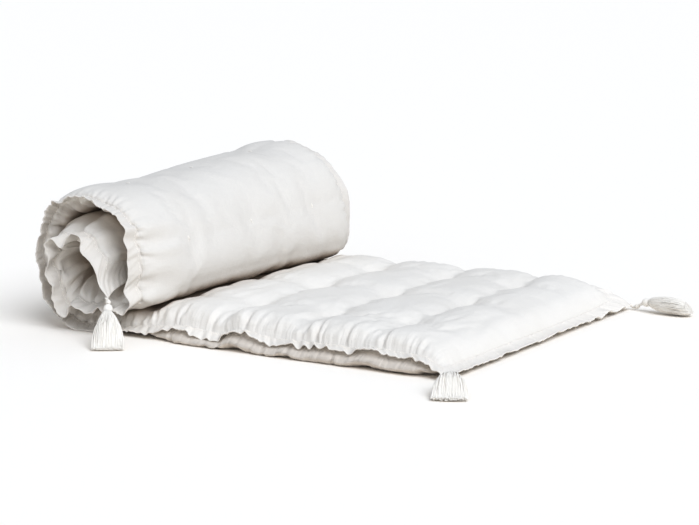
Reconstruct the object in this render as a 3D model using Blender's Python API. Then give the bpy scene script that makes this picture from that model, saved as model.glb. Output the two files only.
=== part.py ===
"""Half-rolled cotton floor mattress with a flat stitched border and a tassel on each corner.

The mattress is one filled solid. Its length starts at the flat end on the floor (+X), runs under the
roll, turns once round the outside, then once more inside, and ends in a loose flap. Metres, +Z up. The
origin is on the floor under the middle of the roll. The near end of the roll is at -Y.
"""

import math

import bmesh
import bpy
from mathutils import Vector

MM = 0.001

# Mattress, as sewn
LENGTH_ALONG_FLOOR = 0.757  # from the roll's middle to the border of the flat end
HALF_WIDTH = 0.345  # to the border's edge, half way along a side
BORDER = 0.025  # flat border outside the seam
BORDER_THICK = 0.003  # two layers of cloth and their turnings
CROWN_FLAT = 0.068  # filled thickness where it lies flat
CROWN_WOUND = 0.046  # squeezed in the roll
EDGE_FLAT = 0.040  # the filling rounds off over this width along the seam
EDGE_FLAT_END = 0.058  # along the seam of the flat end
EDGE_INNER_END = 0.028  # along the seam of the inner end
EDGE_NEAR = 0.095  # at the near end of the roll
EDGE_FAR = 0.060  # at the far end of the roll
BELLY = 0.040  # on the floor the underside swells out below the seam by this much
CORNER_EAR = 0.012  # corners stand out past the drawn-in sides
SEAM = HALF_WIDTH - BORDER

# Quilting stitches: cross rows, each with three tufts
ROW_PITCH = 0.157
ROW_MARGIN = 0.165  # from the end of the border to the first row
ROW_HALF_WIDTH = 0.026
ROW_DEPTH = 0.30  # share of the thickness
TUFT_DEPTH = 0.62
TUFT_HALF_WIDTH = 0.045
TUFT_PLACES = (-0.20, 0.0, 0.20)
STRETCHED_SHARE = 0.30  # how much of a row shows on the roll's outer face and on the floor side
PACKED_SHARE = 0.70  # how much of a row shows on the inner face of the roll

# How it is rolled
FLOOR_MID = 0.030  # height of the mattress's middle layer where it lies flat
END_RISE = 0.065  # the flat end's border comes down to the floor over this length
FLAT_SPOT_SINK = 0.004  # the roll's weight presses its underside flat on the floor
FLAT_SPOT_HALF = 0.075
TELESCOPE = 0.035  # the inner turn has slipped out of the near end
SLACK_AT_SEAM = 0.62  # the seam has come this share of the way to the border's own path
FLUTE = 0.0028  # wave of the border
FLUTE_LENGTHS = ((0.131, 0.4, 1.0), (0.083, 1.9, 0.8))  # wave length, phase, share

# Height of the near border along the floor: distance from the roll's middle, height (mm)
NEAR_BORDER = (
    (757, 5), (747, 6), (735, 15), (700, 27), (655, 33), (600, 32), (545, 29), (480, 26), (425, 25),
    (381, 26), (343, 30), (313, 35), (282, 18), (262, 16), (233, 20), (204, 23), (172, 21),
)

# Height of the far border along the floor: distance from the roll's middle, height (mm)
FAR_BORDER = (
    (757, 5), (745, 15), (729, 27), (702, 38), (670, 42), (620, 39), (540, 34), (380, 31), (172, 26),
)

# The far end sags on the flat part: place across (mm), drop (mm)
SAG = ((345, 15), (318, 10), (285, 4), (245, 0), (200, 0), (-345, 0))

# The roll is looser at its far end: place across (mm), widening in x, widening in z
CONE = (
    (345, 1.13, 1.15), (310, 1.13, 1.12), (240, 1.09, 1.07), (100, 1.04, 1.04),
    (0, 1.01, 1.02), (-100, 1.00, 0.985), (-170, 1.00, 0.98), (-250, 1.00, 0.99), (-345, 1.0, 1.0),
)

# The wound part, from the floor inward: middle layer x, z, then the near border's x, z (mm)
WOUND = (
    ("lies flat", 200, 32, 200, 22),
    ("meets roll", 140, 29, 140, 18),
    ("under roll", 80, 23, 80, 7),
    ("under roll", 20, 22, 20, 3),
    ("left foot", -34, 29, -38, 5),
    ("left foot", -78, 53, -76, 34),
    ("left side", -106, 94, -98, 82),
    ("left side", -114, 140, -111, 128),
    ("left shoulder", -102, 184, -92, 184),
    ("left shoulder", -69, 220, -62, 232),
    ("top", -22, 239, -22, 249),
    ("top", 28, 239, 30, 238),
    ("right shoulder", 77, 219, 70, 230),
    ("right shoulder", 113, 181, 104, 199),
    ("right side", 131, 137, 104, 142),
    ("right foot", 131, 103, 112, 84),
    ("turns in", 104, 80, 102, 50),
    ("second turn", 52, 76, 54, 45),
    ("second turn", -6, 78, 8, 43),
    ("second turn", -42, 94, -34, 34),
    ("second side", -61, 130, -62, 72),
    ("second side", -53, 167, -70, 126),
    ("flap", -20, 188, -66, 160),
    ("flap", 22, 190, -22, 168),
    ("flap", 54, 170, 14, 178),
    ("flap hangs", 69, 138, 42, 138),
    ("flap end", 72, 106, 80, 74),
)

# Mesh: places of the columns across the half width, and the step along the length
COLUMNS = (0.0, 0.10, 0.155, 0.20, 0.245, 0.28, 0.302, 0.314, SEAM, HALF_WIDTH)
STEP = 0.0150

# Tassels
CORD_R = 0.0028
HEAD_R = 0.0085
HEAD_LONG = 0.016
NECK_R = 0.0062
SKIRT_LONG = 0.088
BELL_LONG = 0.014  # the locks are still one body down to here
LOCKS = 26
LOCK_SHARE = 0.39  # lock half thickness as a share of the spacing between locks
FLOOR_GAP = 0.0004
SEAT_GAP = 0.0005
CORD_LEAVES = 0.006  # the cord leaves the corner straight for this length

# Name, on the inner end, on the far side, cord's length, half width of the tips, height over width,
# way of the width, and the path from the mattress's corner (mm)
TASSELS = (
    ("tassel_flat_near", False, False, 0.036, 0.033, 0.58, (0.86, 0.50, 0),
     ((18, -24, 10), (42, -68, 12), (70, -122, 7))),
    ("tassel_flat_far", False, True, 0.030, 0.021, 0.72, (0.3, 0.95, 0),
     ((32, -5, 10), (70, -10, 11), (108, -8, 10))),
    ("tassel_roll_near", True, False, 0.012, 0.031, 0.62, (0.85, 0.52, 0),
     ((15, -18, -24), (30, -36, -43), (43, -54, -52.5))),
    ("tassel_roll_far", True, True, 0.022, 0.019, 0.90, (1, 0, 0),
     ((-14, 30, -14), (-32, 41, -46), (-38, 44, -88.5))),
)

CLOTH = (0.88, 0.87, 0.86, 1.0)
YARN = (0.90, 0.89, 0.88, 1.0)


def mix(a, b, t):
    return a + (b - a) * t


def smooth_step(t):
    t = min(1.0, max(0.0, t))
    return t * t * (3 - 2 * t)


def catmull_rom(p0, p1, p2, p3, t):
    """Point of a smooth curve through p1 and p2, t from 0 to 1."""
    return 0.5 * (
        2 * p1
        + (p2 - p0) * t
        + (2 * p0 - 5 * p1 + 4 * p2 - p3) * t * t
        + (3 * p1 - p0 - 3 * p2 + p3) * t ** 3
    )


def smooth_value(rows, x):
    """Value at x of a smooth curve through (x, value) rows, whose x falls from row to row."""
    last = len(rows) - 1
    if x >= rows[0][0]:
        return rows[0][1]
    if x <= rows[last][0]:
        return rows[last][1]
    i = next(k for k in range(last) if rows[k + 1][0] <= x)
    t = (rows[i][0] - x) / (rows[i][0] - rows[i + 1][0])
    values = [rows[min(max(k, 0), last)][1] for k in range(i - 1, i + 3)]
    return catmull_rom(*values, t)


def curve_through(points, steps):
    """Dense smooth polyline through the points, steps to each span."""
    last = len(points) - 1
    ways = [(points[min(i + 1, last)] - points[max(i - 1, 0)]).normalized() for i in range(last + 1)]
    line = []
    for i in range(last):
        a, b = points[i], points[i + 1]
        span = (b - a).length
        for k in range(steps):
            t = k / steps
            blend = smooth_step(t)
            bend = ways[i] * (t ** 3 - 2 * t * t + t) + ways[i + 1] * (t ** 3 - t * t)
            line.append(a * (1 - blend) + b * blend + bend * span)
    return [*line, points[last]]


class Spine:
    """Middle layer and near border of the mattress in the XZ plane, by distance from the flat end."""

    def __init__(self):
        steps = 16
        mids = [Vector((x, z)) * MM for _, x, z, _, _ in WOUND]
        hems = [Vector((x, z)) * MM for _, _, _, x, z in WOUND]
        self.mid = curve_through(mids, steps)
        self.hem = curve_through(hems, steps)
        self.flat_run = LENGTH_ALONG_FLOOR - mids[0].x
        self.at = [self.flat_run]
        for a, b in zip(self.mid, self.mid[1:]):
            self.at.append(self.at[-1] + (b - a).length)
        self.length = self.at[-1]
        top = next(i for i, row in enumerate(WOUND) if row[0] == "right shoulder")
        self.past_top = self.at[top * steps]

    def find(self, s):
        """(middle point, near border point) at distance s from the flat end."""
        if s <= self.flat_run:
            x = LENGTH_ALONG_FLOOR - s
            mid_z = mix(0.005, FLOOR_MID, smooth_step(s / END_RISE))
            mid_z = mix(mid_z, self.mid[0].y, max(0.0, (s / self.flat_run - 0.75) * 4))
            return Vector((x, mid_z)), Vector((x, smooth_value(NEAR_BORDER, x / MM) * MM))
        k = next((i for i, a in enumerate(self.at) if a >= s), len(self.at)) - 1
        k = min(len(self.at) - 2, k)
        t = (s - self.at[k]) / (self.at[k + 1] - self.at[k])
        return mix(self.mid[k], self.mid[k + 1], t), mix(self.hem[k], self.hem[k + 1], t)

    def wound_share(self, s):
        """0 on the floor, 1 at the inner end."""
        return max(0.0, (s - self.flat_run) / (self.length - self.flat_run))


SPINE = Spine()


def edge_round(inside, width):
    """Fullness of the filling at a distance inside the seam, from 0 on it to 1."""
    return math.sqrt(1 - (1 - max(0.0, min(1.0, inside / width))) ** 2)


def end_fullness(s):
    flat_end = edge_round(s - BORDER, EDGE_FLAT_END)
    return min(flat_end, edge_round(SPINE.length - s - BORDER, EDGE_INNER_END))


def side_fullness(s, y):
    wound = min(1.0, SPINE.wound_share(s) * 8)
    width = mix(EDGE_FLAT, EDGE_NEAR if y < 0 else EDGE_FAR, wound)
    return edge_round(SEAM - abs(y), width)


def slack(y):
    """How far a place across follows the border's path rather than the middle's."""
    over = max(0.0, abs(y) - SEAM) / BORDER
    return mix(SLACK_AT_SEAM * min(1.0, abs(y) / SEAM) ** 5, 1.0, over)


def row_valley(s):
    """1 on a quilting row, fading to 0 beside it."""
    rows = round((SPINE.length - 2 * ROW_MARGIN) / ROW_PITCH)
    nearest = min(rows, max(0, round((s - ROW_MARGIN) / ROW_PITCH)))
    return math.exp(-(((s - ROW_MARGIN - nearest * ROW_PITCH) / ROW_HALF_WIDTH) ** 2))


def quilt_depth(s, y):
    """Share of the thickness that the stitches draw in."""
    tuft = max(math.exp(-(((y - place) / TUFT_HALF_WIDTH) ** 2)) for place in TUFT_PLACES)
    return row_valley(s) * mix(ROW_DEPTH, TUFT_DEPTH, tuft)


def belly(s, y):
    """How far the underside swells out past its place across."""
    v = abs(y) / SEAM
    rise = max(0.0, 1 - (0.95 - v) / 0.25) ** 1.5 if v < 0.95 else 1.0
    fall = max(0.0, 1 - ((v - 0.95) / 0.05) ** 2) if v > 0.95 else 1.0
    return BELLY * end_fullness(s) * rise * fall


def flute(s, y):
    """Wave of the border, none inside the seam's gathers."""
    near_edge = max(0.0, (abs(y) - SEAM * 0.93) / (HALF_WIDTH - SEAM * 0.93))
    wave = sum(
        share * math.sin(math.tau * s / length + phase + (1.1 if y > 0 else 0.0))
        for length, phase, share in FLUTE_LENGTHS
    )
    return FLUTE * near_edge ** 1.5 * wave


def middle(s, y):
    """Point of the middle layer in the XZ plane, at distance s and place y across."""
    mid, hem = SPINE.find(s)
    foot = WOUND[3][2] * MM
    wound = min(1.0, SPINE.wound_share(s) * 8)
    wide = mix(1.0, smooth_value([(row[0] * MM, row[1]) for row in CONE], y), wound)
    tall = mix(1.0, smooth_value([(row[0] * MM, row[2]) for row in CONE], y), wound)
    tall = mix(1.0, tall, smooth_step((mid.y - 0.07) / 0.13))
    sag = smooth_value([(row[0] * MM, row[1] * MM) for row in SAG], y)
    sag *= smooth_step((0.18 - mid.y) / 0.09) * smooth_step((s - SPINE.past_top) / 0.06)
    mid = Vector((mid.x * wide, foot + (mid.y - foot) * tall - sag))
    if y < 0:
        return mix(mid, hem, slack(y))
    far = Vector((mid.x, mix(smooth_value(FAR_BORDER, mid.x / MM) * MM, mid.y, wound)))
    return mix(mid, far, slack(y))


def across(s, y):
    """World y of a place across the mattress: the slip of the turns, and the standing corners."""
    corner = math.exp(-((min(s, SPINE.length - s) / 0.05) ** 2))
    ear = CORNER_EAR * corner * (abs(y) / HALF_WIDTH) ** 4
    return y + math.copysign(ear, y) - TELESCOPE * SPINE.wound_share(s)


def surface(s, y):
    """(inner or upper point, outer or lower point) of the mattress."""
    delta = 0.004
    a, b = middle(max(0.0, s - delta), y), middle(min(SPINE.length, s + delta), y)
    along = (b - a).normalized()
    inward = Vector((along.y, -along.x))
    wound = SPINE.wound_share(s)
    crown = mix(CROWN_FLAT, CROWN_WOUND, min(1.0, wound * 9))
    full = side_fullness(s, y) * end_fullness(s)
    depth = quilt_depth(s, y)
    inner_share = mix(1.0, PACKED_SHARE, min(1.0, wound * 6))
    half = crown / 2 * full
    up = max(BORDER_THICK / 2, half * (1 - depth * inner_share))
    down = max(BORDER_THICK / 2, half * (1 - depth * STRETCHED_SHARE))
    at = middle(s, y) + inward * flute(s, y)
    ends = []
    for point in (at + inward * up, at - inward * down):
        ends.append(Vector((point.x, across(s, y), point.y)))
    on_floor = 1 - min(1.0, wound * 8)
    ends[1].y += math.copysign(belly(s, y) * on_floor, y)
    pressed = smooth_step(1.6 - 1.6 * abs(s - LENGTH_ALONG_FLOOR) / FLAT_SPOT_HALF)
    pressed *= smooth_step((SEAM - abs(y)) / 0.06)
    ends[1].z = max(0.0, ends[1].z - FLAT_SPOT_SINK * pressed)
    ends[0].z = max(ends[1].z + BORDER_THICK if s < SPINE.flat_run else 0.0, ends[0].z)
    return ends


def link(name, mesh):
    obj = bpy.data.objects.new(name, mesh)
    bpy.data.collections["rolled_floor_mattress"].objects.link(obj)
    return obj


def material(name, colour, roughness):
    made = bpy.data.materials.new(name)
    made.use_nodes = True
    shader = made.node_tree.nodes["Principled BSDF"]
    shader.inputs["Base Color"].default_value = colour
    shader.inputs["Roughness"].default_value = roughness
    shader.inputs["Metallic"].default_value = 0.0
    return made


def make_mattress(cloth):
    """A loft: one closed section round the mattress at each step of its length."""
    ys = [-c for c in reversed(COLUMNS)] + list(COLUMNS[1:])
    count = round(SPINE.length / STEP)
    bm = bmesh.new()
    loops = []
    for i in range(count + 1):
        pairs = [surface(SPINE.length * i / count, y) for y in ys]
        ring = [p[0] for p in pairs] + [p[1] for p in reversed(pairs)]
        loops.append([bm.verts.new(p) for p in ring])
    around = len(loops[0])
    for a, b in zip(loops, loops[1:]):
        for j in range(around):
            k = (j + 1) % around
            bm.faces.new((a[j], a[k], b[k], b[j]))
    for loop in (loops[0], loops[-1]):
        for j in range(len(ys) - 1):
            bm.faces.new((loop[j], loop[j + 1], loop[around - 2 - j], loop[around - 1 - j]))
    bmesh.ops.recalc_face_normals(bm, faces=bm.faces)
    mesh = bpy.data.meshes.new("mattress")
    bm.to_mesh(mesh)
    bm.free()
    mesh.shade_smooth()
    mesh.materials.append(cloth)
    return link("mattress", mesh)


class TasselPath:
    """Axis of a tassel: from the mattress's corner along the cord, the head and the skirt."""

    def __init__(self, points, side):
        self.line = curve_through([Vector(p) for p in points], 12)
        self.side = Vector(side).normalized()
        self.at = [0.0]
        for a, b in zip(self.line, self.line[1:]):
            self.at.append(self.at[-1] + (b - a).length)

    def frame(self, d):
        """(point, along, side, up) at distance d from the corner; past the end it goes straight on."""
        last = len(self.at) - 2
        k = min(last, max(0, next((i for i, a in enumerate(self.at) if a >= d), last + 1) - 1))
        along = (self.line[k + 1] - self.line[k]).normalized()
        point = self.line[k] + along * (d - self.at[k])
        side = (self.side - along * self.side.dot(along)).normalized()
        return point, along, side, side.cross(along)


def ring_loft(bm, rings):
    """Closed tube through rings of points, capped at both ends."""
    loops = [[bm.verts.new(p) for p in ring] for ring in rings]
    for a, b in zip(loops, loops[1:]):
        for j in range(len(a)):
            k = (j + 1) % len(a)
            bm.faces.new((a[j], a[k], b[k], b[j]))
    bm.faces.new(list(reversed(loops[0])))
    bm.faces.new(loops[-1])


def off_floor(ring):
    """The ring, raised to lie on the floor where it would be below it."""
    lift = max(0.0, FLOOR_GAP - min(point.z for point in ring))
    return [point + Vector((0, 0, lift)) for point in ring]


def head_profile(cord):
    """(distance from the corner, radius) rows of cord, knot, head, neck and bell."""
    h = cord
    return (
        (SEAT_GAP, CORD_R * 0.8), (cord * 0.22, CORD_R), (cord * 0.36, CORD_R * 1.7),
        (cord * 0.62, CORD_R * 1.7), (cord * 0.76, CORD_R),
        (h, CORD_R * 1.2), (h + HEAD_LONG * 0.15, HEAD_R * 0.75), (h + HEAD_LONG * 0.5, HEAD_R),
        (h + HEAD_LONG * 0.85, HEAD_R * 0.85), (h + HEAD_LONG, NECK_R), (h + HEAD_LONG + 0.004, NECK_R),
    )


def lock_places():
    """Evenly packed places of the locks in a disc of radius 1."""
    golden = math.pi * (3 - math.sqrt(5))
    radii = [math.sqrt((i + 0.5) / LOCKS) for i in range(LOCKS)]
    return [(r * math.cos(i * golden), r * math.sin(i * golden)) for i, r in enumerate(radii)]


def make_tassel(name, path, cord, spread, flat, yarn):
    """spread is the half width of the tips; flat squashes the skirt's height under its own weight."""
    start = cord + HEAD_LONG
    spacing = math.sqrt(math.pi / LOCKS)

    def skirt_size(t):
        return mix(NECK_R * 0.95, spread, math.sin(min(1.0, t) * math.pi / 2) ** 0.8)

    def at(d, a, b, size):
        point, _, side, up = path.frame(d)
        t = max(0.0, (d - start) / SKIRT_LONG)
        high = mix(1.0, flat, min(1.0, t * 1.6))
        made = point + side * (a * size) + up * (b * size * high)
        return made

    sides = 10
    bm = bmesh.new()
    rows = list(head_profile(cord))
    rows += [(start + BELL_LONG * t, skirt_size(BELL_LONG * t / SKIRT_LONG)) for t in (0.5, 1.0)]
    turns = [math.tau * k / sides for k in range(sides)]
    ring_loft(bm, [off_floor([at(d, math.cos(a), math.sin(a), r) for a in turns]) for d, r in rows])
    bmesh.ops.recalc_face_normals(bm, faces=bm.faces)
    head = bpy.data.meshes.new(name)
    bm.to_mesh(head)
    bm.free()

    bm = bmesh.new()
    for i, (a, b) in enumerate(lock_places()):
        ragged = 1 - 0.05 * ((i * 7) % 5) / 4
        rings = []
        for t in (0.08, 0.32, 0.56, 0.8, ragged):
            size = skirt_size(t)
            thick = size * spacing * LOCK_SHARE * (0.8 if t == ragged else 1.0)
            ring = []
            for k in range(3):
                turn = math.tau * k / 3 + math.pi / 2
                place = at(start + SKIRT_LONG * t, a * 0.86, b * 0.86, size)
                shift = at(start + SKIRT_LONG * t, math.cos(turn), math.sin(turn), thick)
                centre = path.frame(start + SKIRT_LONG * t)[0]
                ring.append(place + shift - centre)
            rings.append(off_floor(ring))
        ring_loft(bm, rings)
    bmesh.ops.recalc_face_normals(bm, faces=bm.faces)
    locks = bpy.data.meshes.new(name + "_locks")
    bm.to_mesh(locks)
    bm.free()

    tool = bpy.data.objects.new(name + "_locks", locks)
    bpy.data.collections["joined_shapes"].objects.link(tool)
    tool.hide_render = True
    tool.display_type = "WIRE"
    head.materials.append(yarn)
    tassel = link(name, head)
    union = tassel.modifiers.new("locks", "BOOLEAN")
    union.operation = "UNION"
    union.solver = "EXACT"
    union.object = tool
    union.use_self = True
    return tassel


def corner(at_inner_end, far):
    """(tip of the border at one corner of the mattress, way out of it along the mattress)."""
    s, back = (SPINE.length, SPINE.length - 0.004) if at_inner_end else (0.0, 0.004)
    y = HALF_WIDTH if far else -HALF_WIDTH
    inner, outer = surface(s, y)
    way = middle(s, y) - middle(back, y)
    return (inner + outer) / 2, Vector((way.x, 0, way.y)).normalized()


def make_tassels(yarn):
    for name, inner_end, far, cord, spread, flat, side, points in TASSELS:
        tip, out = corner(inner_end, far)
        path = [tip, tip + out * CORD_LEAVES]
        path += [tip + Vector(point) * MM for point in points]
        make_tassel(name, TasselPath(path, side), cord, spread, flat, yarn)


def main():
    for obj in list(bpy.data.objects):
        bpy.data.objects.remove(obj)
    for name in ("rolled_floor_mattress", "joined_shapes"):
        bpy.context.scene.collection.children.link(bpy.data.collections.new(name))
    make_mattress(material("cotton_cloth", CLOTH, 0.85))
    make_tassels(material("cotton_yarn", YARN, 0.9))


main()
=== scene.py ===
import random
from bisect import bisect_left
from math import cos, pi, radians, sin, sqrt, tau

import bmesh
import bpy
import numpy as np
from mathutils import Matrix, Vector
from mathutils.bvhtree import BVHTree


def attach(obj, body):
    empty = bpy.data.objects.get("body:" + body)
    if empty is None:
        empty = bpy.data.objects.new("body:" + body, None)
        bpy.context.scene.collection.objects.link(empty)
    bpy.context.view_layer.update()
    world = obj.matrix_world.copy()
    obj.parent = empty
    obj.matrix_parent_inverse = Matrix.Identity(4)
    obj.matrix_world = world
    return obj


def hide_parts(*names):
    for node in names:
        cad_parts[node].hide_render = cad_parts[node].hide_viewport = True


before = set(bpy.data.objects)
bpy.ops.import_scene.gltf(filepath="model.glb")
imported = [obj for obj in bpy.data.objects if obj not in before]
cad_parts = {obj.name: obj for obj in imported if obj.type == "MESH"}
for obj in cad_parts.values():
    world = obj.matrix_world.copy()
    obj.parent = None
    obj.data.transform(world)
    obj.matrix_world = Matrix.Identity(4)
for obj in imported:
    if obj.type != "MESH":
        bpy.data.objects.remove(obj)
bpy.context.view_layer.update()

MM = 0.001

# Mattress, as sewn: the same sizes as the CAD solid's
LENGTH_ALONG_FLOOR = 0.757
HALF_WIDTH = 0.345
BORDER = 0.025
BORDER_THICK = 0.003
CROWN_FLAT = 0.068
CROWN_WOUND = 0.046
EDGE_FLAT = 0.040
EDGE_FLAT_END = 0.058
EDGE_INNER_END = 0.028
EDGE_NEAR = 0.095
EDGE_FAR = 0.060
BELLY = 0.043
CORNER_EAR = 0.012
SEAM = HALF_WIDTH - BORDER
ROW_PITCH = 0.157
ROW_MARGIN = 0.165
ROW_HALF_WIDTH = 0.026
ROW_DEPTH = 0.30
TUFT_DEPTH = 0.62
TUFT_HALF_WIDTH = 0.045
TUFT_PLACES = (-0.20, 0.0, 0.20)
STRETCHED_SHARE = 0.30
PACKED_SHARE = 0.70
FLOOR_MID = 0.030
END_MID = 0.005
END_RISE = 0.065
FLAT_SPOT_SINK = 0.004
FLAT_SPOT_HALF = 0.075
TELESCOPE = 0.035
SLACK_AT_SEAM = 0.62
FLUTE = 0.0028
FLUTE_LENGTHS = ((0.131, 0.4, 1.0), (0.083, 1.9, 0.8))
NEAR_BORDER = (
    (757, 5), (747, 6), (735, 15), (700, 27), (655, 33), (600, 32), (545, 29), (480, 26), (425, 25),
    (381, 26), (343, 30), (313, 35), (282, 18), (262, 16), (233, 20), (204, 23), (172, 21),
)
FAR_BORDER = (
    (757, 5), (745, 15), (729, 27), (702, 38), (670, 42), (620, 39), (540, 34), (380, 31), (172, 26),
)
SAG = ((345, 15), (318, 10), (285, 4), (245, 0), (200, 0), (-345, 0))
CONE = (
    (345, 1.13, 1.15), (310, 1.13, 1.12), (240, 1.09, 1.07), (100, 1.04, 1.04),
    (0, 1.01, 1.02), (-100, 1.00, 0.985), (-170, 1.00, 0.98), (-250, 1.00, 0.99), (-345, 1.0, 1.0),
)
# Middle layer x, z, then the near border's x, z (mm), from the floor inward
WOUND = (
    (200, 32, 200, 22), (140, 29, 140, 18), (80, 23, 80, 7), (20, 22, 20, 3), (-34, 29, -38, 5),
    (-78, 53, -76, 34), (-106, 94, -98, 82), (-114, 140, -111, 128), (-102, 184, -92, 184),
    (-69, 220, -62, 232), (-22, 239, -22, 249), (28, 239, 30, 238), (77, 219, 70, 230),
    (113, 181, 104, 199), (131, 137, 104, 142), (131, 103, 112, 84), (104, 80, 102, 50),
    (52, 76, 54, 45), (-6, 78, 8, 43), (-42, 94, -34, 34), (-61, 130, -62, 72), (-53, 167, -70, 126),
    (-20, 188, -66, 160), (22, 190, -22, 168), (54, 170, 14, 178), (69, 138, 42, 138), (72, 106, 80, 74),
)

FLAT_STEPS = 560  # steps of the spine's table along the floor
SPAN_STEPS = 16  # and from each row of WOUND to the next
TOP_ROW = 12  # row of WOUND just past the top of the outer turn
COVERED_ROW = 19  # row from which the outer turn lies over the inner one

# Tassels: name, on the inner end, far side, cord, half width of the tips, height over width, how far the
# tips drop to the floor, way of the width, and the path from the mattress's corner (mm)
CORD_R = 0.0028
CORD_PITCH = 0.009
HEAD_R = 0.0085
HEAD_LONG = 0.016
NECK_R = 0.0062
SKIRT_LONG = 0.088
CORD_LEAVES = 0.006
LOCKS = 26
TASSELS = (
    ("tassel_flat_near", False, False, 0.036, 0.033, 0.58, 1.0, (0.86, 0.50, 0),
     ((18, -24, 10), (42, -68, 12), (70, -122, 7))),
    ("tassel_flat_far", False, True, 0.030, 0.021, 0.86, 0.12, (0.3, 0.95, 0),
     ((32, -5, 10), (70, -10, 11), (108, -8, 10))),
    ("tassel_roll_near", True, False, 0.012, 0.031, 0.62, 1.0, (0.85, 0.52, 0),
     ((15, -18, -24), (30, -36, -43), (43, -54, -52.5))),
    ("tassel_roll_far", True, True, 0.022, 0.019, 0.90, 0.5, (1, 0, 0),
     ((-14, 30, -14), (-32, 41, -46), (-38, 44, -88.5))),
)
HEAD_PROFILE = (
    (0.0, 0.30), (0.06, 0.62), (0.2, 0.86), (0.42, 1.0),
    (0.65, 0.97), (0.85, 0.82), (1.0, 0.72), (1.15, 0.70),
)
STRANDS = 600
STRAND_R = 0.00078
STRAND_TAPER = (1.0, 1.0, 1.0, 1.0, 1.05, 1.05, 1.05, 1.1, 1.1, 1.1, 0.8)

# The near seam's deepest gathers in the photo: distance from the flat end, depth, reach, width, lean
DEEP_CREASES = (
    (0.086, 0.0030, 0.045, 0.0034, 0.2), (0.148, 0.0046, 0.075, 0.0038, 0.1),
    (0.224, 0.0050, 0.085, 0.0040, -0.1), (0.281, 0.0062, 0.095, 0.0040, 0.15),
    (0.311, 0.0044, 0.070, 0.0036, -0.2), (0.430, 0.0064, 0.100, 0.0042, 0.10),
    (0.501, 0.0060, 0.080, 0.0038, 0.0), (0.582, 0.0040, 0.060, 0.0036, 0.2),
    (0.616, 0.0034, 0.050, 0.0034, -0.1),
)
# Range of depth, reach and pitch of the other gathers, by (in the roll, outer or lower face)
GATHERS = {
    (True, True): ((0.0018, 0.0058), (0.014, 0.046), (0.009, 0.017)),
    (True, False): ((0.0018, 0.0062), (0.030, 0.100), (0.012, 0.022)),
    (False, True): ((0.0006, 0.0032), (0.040, 0.080), (0.015, 0.034)),
    (False, False): ((0.0010, 0.0036), (0.018, 0.070), (0.011, 0.022)),
}

# Border: share of the way across it and half its thickness there, then its ruffles
BORDER_SECTION = (
    (-0.22, 0.0011), (0.0, 0.0013), (0.14, 0.0009), (0.30, 0.0013), (0.5, 0.0014),
    (0.7, 0.0014), (0.86, 0.0014), (0.96, 0.0011), (1.0, 0.0003),
)
RUFFLE_LENGTHS = (0.024, 0.011, 0.0068, 0.07)  # broad and small waves, pleats, how strong they are
RUFFLE_HIGH = (0.0030, 0.0047)  # on the floor, in the roll
PLEAT_HIGH = (0.0010, 0.0017)
FLOOR_GAP = 0.0003

# Meshes: steps along and across one face of the filled case, for the look and for the simulation
FINE = (560, 86)
COARSE = (224, 56)
FREE_REACH = 0.06
RAY_START = 0.0012
NESTLE_REACH = 0.046
LIP_FOLD = 0.0052
END_LIFT = 0.0052
SEAM_CALM = 0.008
TOP_QUILT = 0.78  # the flat part's stitches have pulled less deep than the solid's
SIM_FRAMES = 20
SIM_CAP = 0.007
SIM_BROAD = (26, 12)  # passes of smoothing that find the broad movement, which isn't used
SIM_TOP, SIM_BELOW = 0.50, 0.60  # share of the movement that each face takes on the floor
SIM_INNER, SIM_OUTER = 0.65, 0.36  # and in the roll
CLOTH_SETUP = {
    "quality": 5,
    "mass": 0.25,
    "tension_stiffness": 12,
    "compression_stiffness": 12,
    "shear_stiffness": 4,
    "bending_stiffness": 0.12,
    "vertex_group_mass": "held",
    "pin_stiffness": 1.0,
    "shrink_min": -0.05,
    "use_pressure": True,
    "uniform_pressure_force": 5,
}
BORDER_STEP = 0.0023
# Painted shade: how strongly the warm shade colour darkens the cloth inside the roll and underneath, how
# much the roll's outer face and border are dimmed, and the warm shade colour
PAINTED_SHADE_INSIDE = 0.85
PAINTED_SHADE_UNDER = 0.32
ROLL_PAINTED_SHADE = 0.085
PAINTED_SHADE_COLOUR = (0.50, 0.385, 0.28)
STITCH_PITCH = 0.0065
STITCH_R = 0.00038
TUFT_STITCH_HALF = 0.0052
TUFT_STITCH_R = 0.0006
TUFT_STITCH = ((-1.0, -0.0012), (-0.6, 0.0006), (0.6, 0.0006), (1.0, -0.0012))  # share along, height

# Materials: darker and lighter colour, noise scales, and heights of the bumps
CLOTH_COLOURS = ((0.768, 0.722, 0.661), (0.806, 0.763, 0.705))
BORDER_COLOURS = ((0.783, 0.730, 0.662), (0.821, 0.772, 0.709))
THREAD_COLOURS = ((0.87, 0.82, 0.75), (0.91, 0.86, 0.79))
YARN_COLOURS = ((0.855, 0.810, 0.742), (0.886, 0.840, 0.772))
FLOOR_COLOUR = (0.985, 0.930, 0.858)
FLOOR_HALF = 40.0
YARN_SCALE = 95
YARN_STRETCH = 14
MOTTLE_SCALE = 9
CRUMPLE_SCALE = 34
CRUMPLE_HIGH = 0.004
PUCKER_SCALE = 210
PUCKER_SQUASH = 0.06
PUCKER_HIGH = 0.0024
FUZZ_SCALE = 120
WEAVE_HIGH = 0.0007
YARN_MOTTLE_SCALE = 160
FIBRE_SCALE = 900
FIBRE_HIGH = 0.0004

# Camera, fitted to the photograph: place, turn to the left and tilt (rad), focal length (pixels)
CAMERA_AT = (2.4647, -3.4269, 0.8326)
CAMERA_TURN = 0.5536
CAMERA_DOWN = 0.1782
CAMERA_FOCUS = 2200
PHOTO_WIDE = 699

# Studio: brightness of the surround at the horizon and overhead, and the wide light
SKY = (0.62, 0.51)
KEY = 2.33
KEY_FROM = (0.61, -0.31, 0.73)
KEY_WIDE = 46
GAMMA = 0.80
COOL = (0.940, 1.0, 1.090)  # the light's colour, which the cream cloth turns to white

RNG = random.Random(411)
uniform = RNG.uniform


def mix(a, b, t):
    return a + (b - a) * t


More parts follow.
